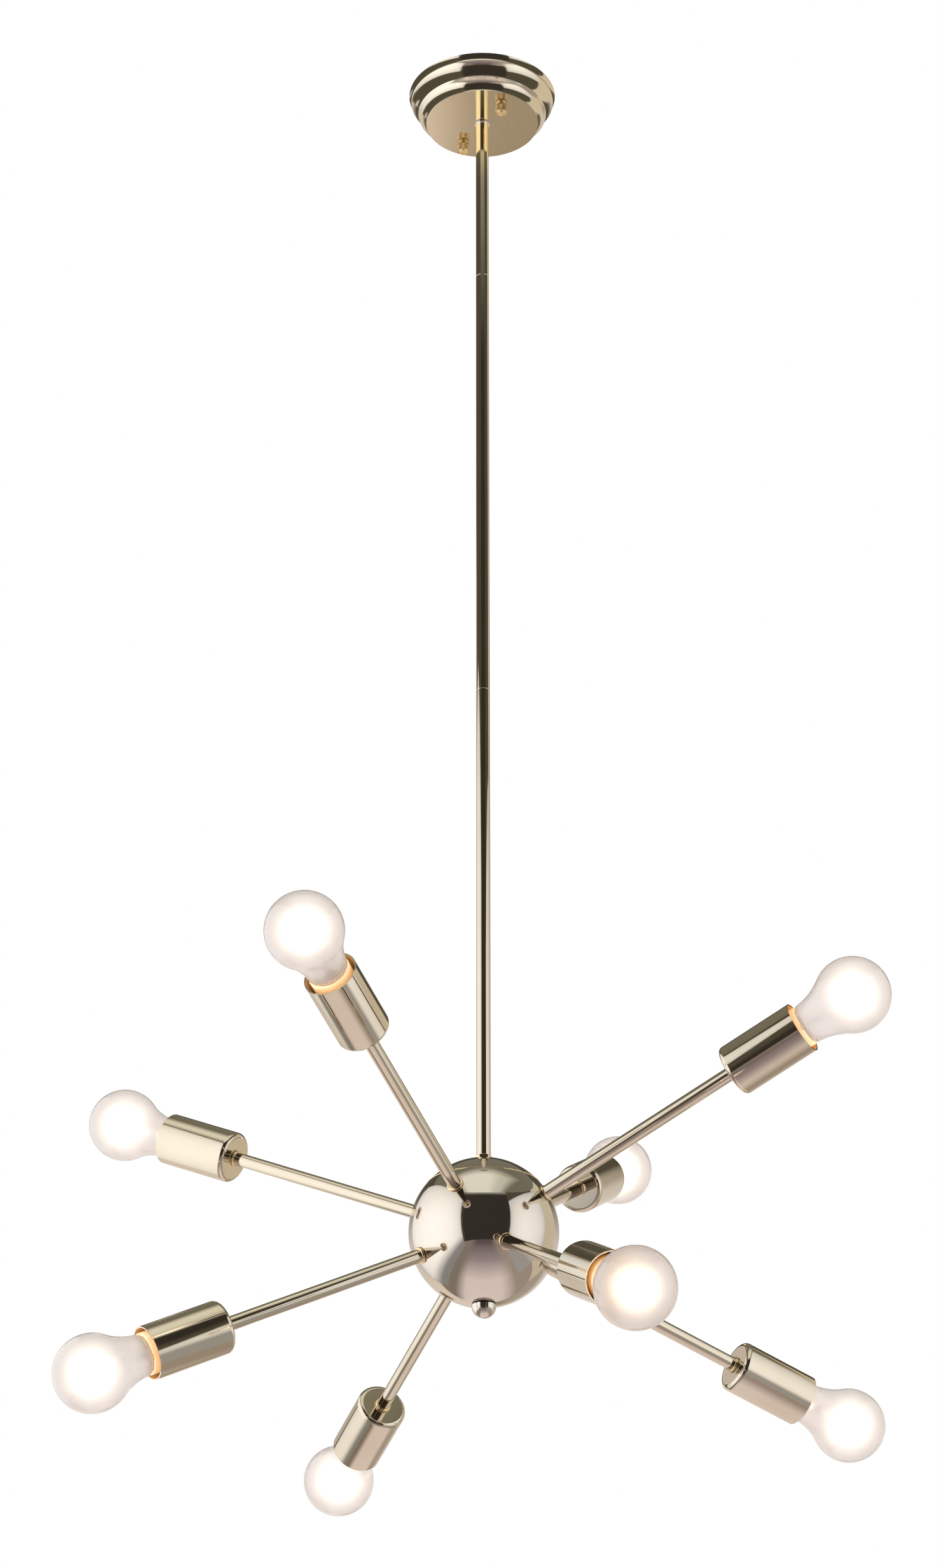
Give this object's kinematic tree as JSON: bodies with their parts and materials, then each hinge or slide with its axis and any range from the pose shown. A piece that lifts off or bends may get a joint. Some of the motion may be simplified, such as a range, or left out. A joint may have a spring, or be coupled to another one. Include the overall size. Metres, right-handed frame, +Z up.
{
  "type": "sputnik chandelier",
  "caption": "Ceiling light: a stepped canopy and screwed downrods carry a hollow ball with radiating arms, each with a cup, a lampholder and a screw-in bulb.",
  "frame": {"origin": "centre of the mounting strap's top face, in the plane of the ceiling", "axes": "+Z up, against the ceiling; the lamp hangs along -Z; +X to the right and +Y away from the viewer of the picture"},
  "size_m": [0.6611, 0.6749, 1.2818],
  "materials": {
    "canopy_metal": "polished pale gold plating",
    "rod_metal": "polished pale gold plating",
    "arm_metal": "polished pale gold plating",
    "cup_metal": "polished pale gold plating",
    "ball_metal": "polished pale gold plating",
    "finial_metal": "polished pale gold plating",
    "collar_metal": "polished pale gold plating",
    "knurled_brass": "knurled, plated",
    "zinc_steel": "zinc plated",
    "green_steel": "green coated",
    "holder_ceramic": "glazed cream",
    "contact_brass": "plain",
    "frosted_glass": "inside frosted, lit",
    "base_aluminium": "thin formed metal"
  },
  "bodies": {
    "fixture": {"mounting_strap": "zinc_steel", "ground_screw": "green_steel", "canopy_studs": "zinc_steel", "stud_nuts": "zinc_steel", "canopy": "canopy_metal", "rod_top": "rod_metal", "rod_middle": "rod_metal", "rod_lower": "rod_metal", "canopy_ring": "collar_metal", "ball_neck_nut": "collar_metal", "ball_cap": "ball_metal", "ball_shell": "ball_metal", "centre_stem": "zinc_steel", "finial": "finial_metal", "hex_nuts": "zinc_steel", "threaded_nipples": "zinc_steel", "arm_collars": "collar_metal", "lampholder_contacts": "contact_brass", "arm_1": "arm_metal", "arm_2": "arm_metal", "arm_3": "arm_metal", "arm_4": "arm_metal", "arm_5": "arm_metal", "arm_6": "arm_metal", "arm_7": "arm_metal", "arm_8": "arm_metal", "cup_1": "cup_metal", "cup_2": "cup_metal", "cup_3": "cup_metal", "cup_4": "cup_metal", "cup_5": "cup_metal", "cup_6": "cup_metal", "cup_7": "cup_metal", "cup_8": "cup_metal", "lampholder_1": "holder_ceramic", "lampholder_2": "holder_ceramic", "lampholder_3": "holder_ceramic", "lampholder_4": "holder_ceramic", "lampholder_5": "holder_ceramic", "lampholder_6": "holder_ceramic", "lampholder_7": "holder_ceramic", "lampholder_8": "holder_ceramic"},
    "bulb_1": {"bulb_glass_1": "frosted_glass", "bulb_base_1": "base_aluminium"},
    "bulb_2": {"bulb_glass_2": "frosted_glass", "bulb_base_2": "base_aluminium"},
    "bulb_3": {"bulb_glass_3": "frosted_glass", "bulb_base_3": "base_aluminium"},
    "bulb_4": {"bulb_glass_4": "frosted_glass", "bulb_base_4": "base_aluminium"},
    "bulb_5": {"bulb_glass_5": "frosted_glass", "bulb_base_5": "base_aluminium"},
    "bulb_6": {"bulb_glass_6": "frosted_glass", "bulb_base_6": "base_aluminium"},
    "bulb_7": {"bulb_glass_7": "frosted_glass", "bulb_base_7": "base_aluminium"},
    "bulb_8": {"bulb_glass_8": "frosted_glass", "bulb_base_8": "base_aluminium"},
    "nut_1": {"cap_nut_1": "knurled_brass"},
    "nut_2": {"cap_nut_2": "knurled_brass"}
  },
  "joints": [
    {"name": "bulb_1_out", "type": "slide", "parent": "fixture", "child": "bulb_1", "axis": [0.8459, 0.4199, -0.3289], "range_m": [0, 0.034]},
    {"name": "bulb_2_out", "type": "slide", "parent": "fixture", "child": "bulb_2", "axis": [0.3399, 0.8329, 0.4368], "range_m": [0, 0.034]},
    {"name": "bulb_3_out", "type": "slide", "parent": "fixture", "child": "bulb_3", "axis": [-0.3503, 0.8713, -0.3437], "range_m": [0, 0.034]},
    {"name": "bulb_4_out", "type": "slide", "parent": "fixture", "child": "bulb_4", "axis": [-0.8542, 0.3521, 0.3827], "range_m": [0, 0.034]},
    {"name": "bulb_5_out", "type": "slide", "parent": "fixture", "child": "bulb_5", "axis": [-0.8259, -0.366, -0.4289], "range_m": [0, 0.034]},
    {"name": "bulb_6_out", "type": "slide", "parent": "fixture", "child": "bulb_6", "axis": [-0.3751, -0.8465, 0.3778], "range_m": [0, 0.034]},
    {"name": "bulb_7_out", "type": "slide", "parent": "fixture", "child": "bulb_7", "axis": [0.2971, -0.8676, -0.3987], "range_m": [0, 0.034]},
    {"name": "bulb_8_out", "type": "slide", "parent": "fixture", "child": "bulb_8", "axis": [0.8052, -0.439, 0.3987], "range_m": [0, 0.034]},
    {"name": "cap_nut_1_off", "type": "slide", "parent": "fixture", "child": "nut_1", "axis": [0, 0, -1], "range_m": [0, 0.0105]},
    {"name": "cap_nut_2_off", "type": "slide", "parent": "fixture", "child": "nut_2", "axis": [0, 0, -1], "range_m": [0, 0.0105]}
  ]
}
